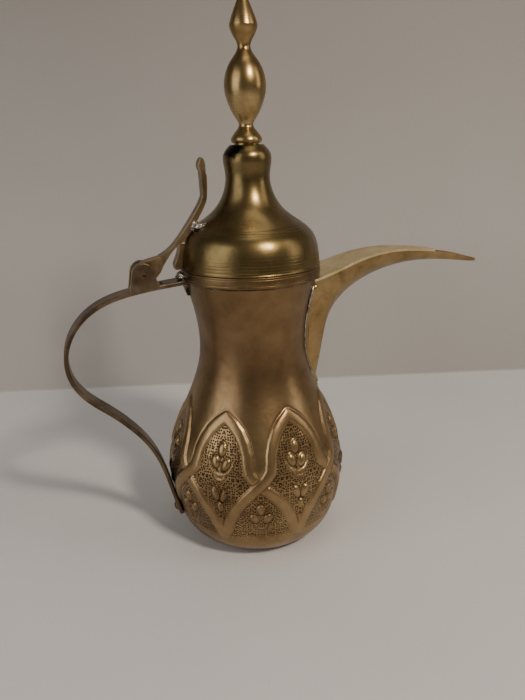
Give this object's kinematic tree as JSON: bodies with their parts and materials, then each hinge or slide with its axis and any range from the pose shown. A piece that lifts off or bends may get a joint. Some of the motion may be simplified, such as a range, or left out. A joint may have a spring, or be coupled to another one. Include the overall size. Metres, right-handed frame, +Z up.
{
  "type": "dallah coffee pot",
  "caption": "Brass dallah coffee pot with an embossed belly, a crescent spout, a strap handle and a hinged domed lid with a turned finial.",
  "frame": {"origin": "centre of the base where it stands on the table", "axes": "+Z up, +X towards the spout, so -X is towards the handle and +Y is the spout's left side seen from the handle"},
  "size_m": [0.2484, 0.1044, 0.3],
  "materials": {
    "brass": "aged",
    "solder": "dull",
    "hinge_steel": "worn"
  },
  "bodies": {
    "pot": {"body_shell": "brass", "base_plate": "brass", "collar_band": "brass", "collar_solder": "solder", "spout_trough": "brass", "spout_cover": "brass", "spout_flange": "brass", "spout_solder": "solder", "handle": "brass", "handle_saddle": "brass", "handle_solder": "solder", "handle_rivet": "brass", "hinge_pin": "hinge_steel"},
    "lid": {"lid_dome": "brass", "lid_skirt": "brass", "lid_strap": "brass", "thumb_lever": "brass", "lever_solder": "solder", "finial": "brass", "finial_stud": "brass", "finial_washer": "brass", "finial_nut": "brass"}
  },
  "joints": [
    {"name": "lid_hinge", "type": "hinge", "parent": "pot", "child": "lid", "pos_m": [-0.0596, 0, 0.1627], "axis": [0, -1, 0], "range_deg": [0, 160]}
  ]
}
